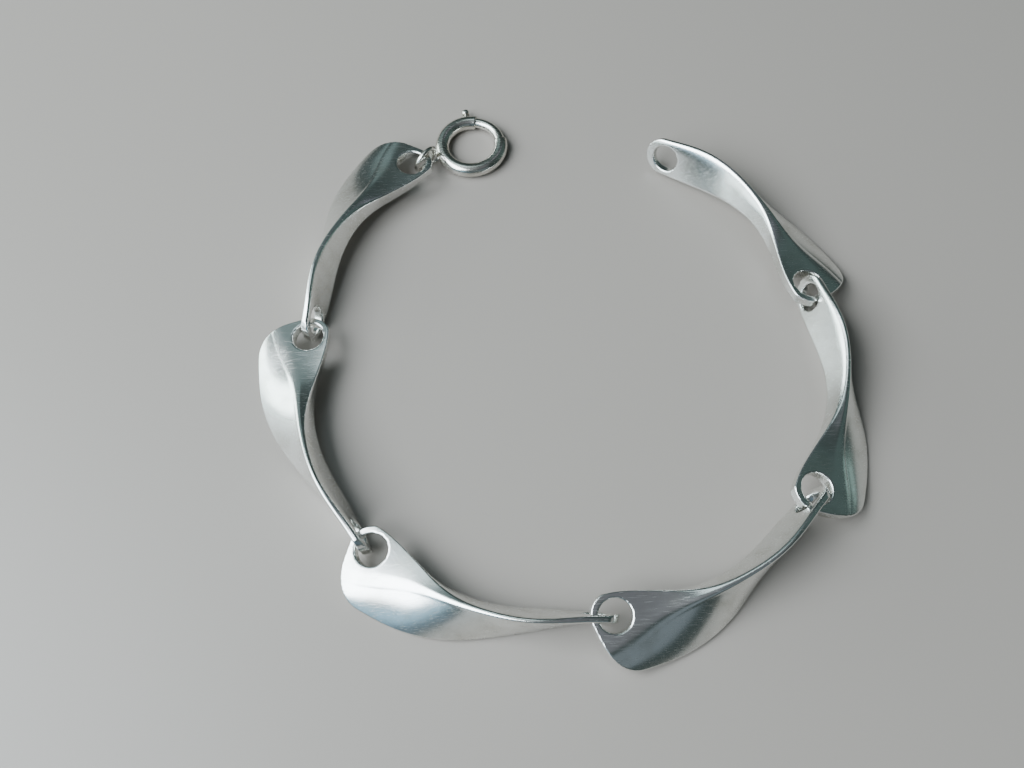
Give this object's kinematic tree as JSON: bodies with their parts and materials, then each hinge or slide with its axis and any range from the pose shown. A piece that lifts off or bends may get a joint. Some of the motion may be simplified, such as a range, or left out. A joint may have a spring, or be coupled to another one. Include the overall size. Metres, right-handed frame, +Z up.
{
  "type": "bracelet",
  "caption": "Silver bracelet of twisted links that hook into one another, with a sprung ring clasp; it lies open in a loop.",
  "frame": {"origin": "centre of the bounding box, on the surface that the bracelet lies on", "axes": "+Z up from the surface; the open ends and the clasp are towards +Y; the first link's wide end is at -X and the last link's hole is at +X of the clasp"},
  "size_m": [0.0786, 0.0828, 0.0067],
  "materials": {
    "link_silver": "polished sterling silver, worn to fine scratches",
    "clasp_silver": "polished silver, slightly tarnished"
  },
  "bodies": {
    "bracelet": {"link_1": "link_silver", "link_2": "link_silver", "link_3": "link_silver", "link_4": "link_silver", "link_5": "link_silver", "link_6": "link_silver", "jump_ring": "clasp_silver", "clasp_ring": "clasp_silver"},
    "bolt": {"clasp_bolt": "clasp_silver"}
  },
  "joints": [
    {"name": "bolt_slide_round", "type": "hinge", "parent": "bracelet", "child": "bolt", "pos_m": [-0.01037, 0.03494, 0.001], "axis": [0, 0, 1], "range_deg": [0, 70], "stiffness_Nm_per_rad": 0.002, "springref_deg": -11.46}
  ]
}
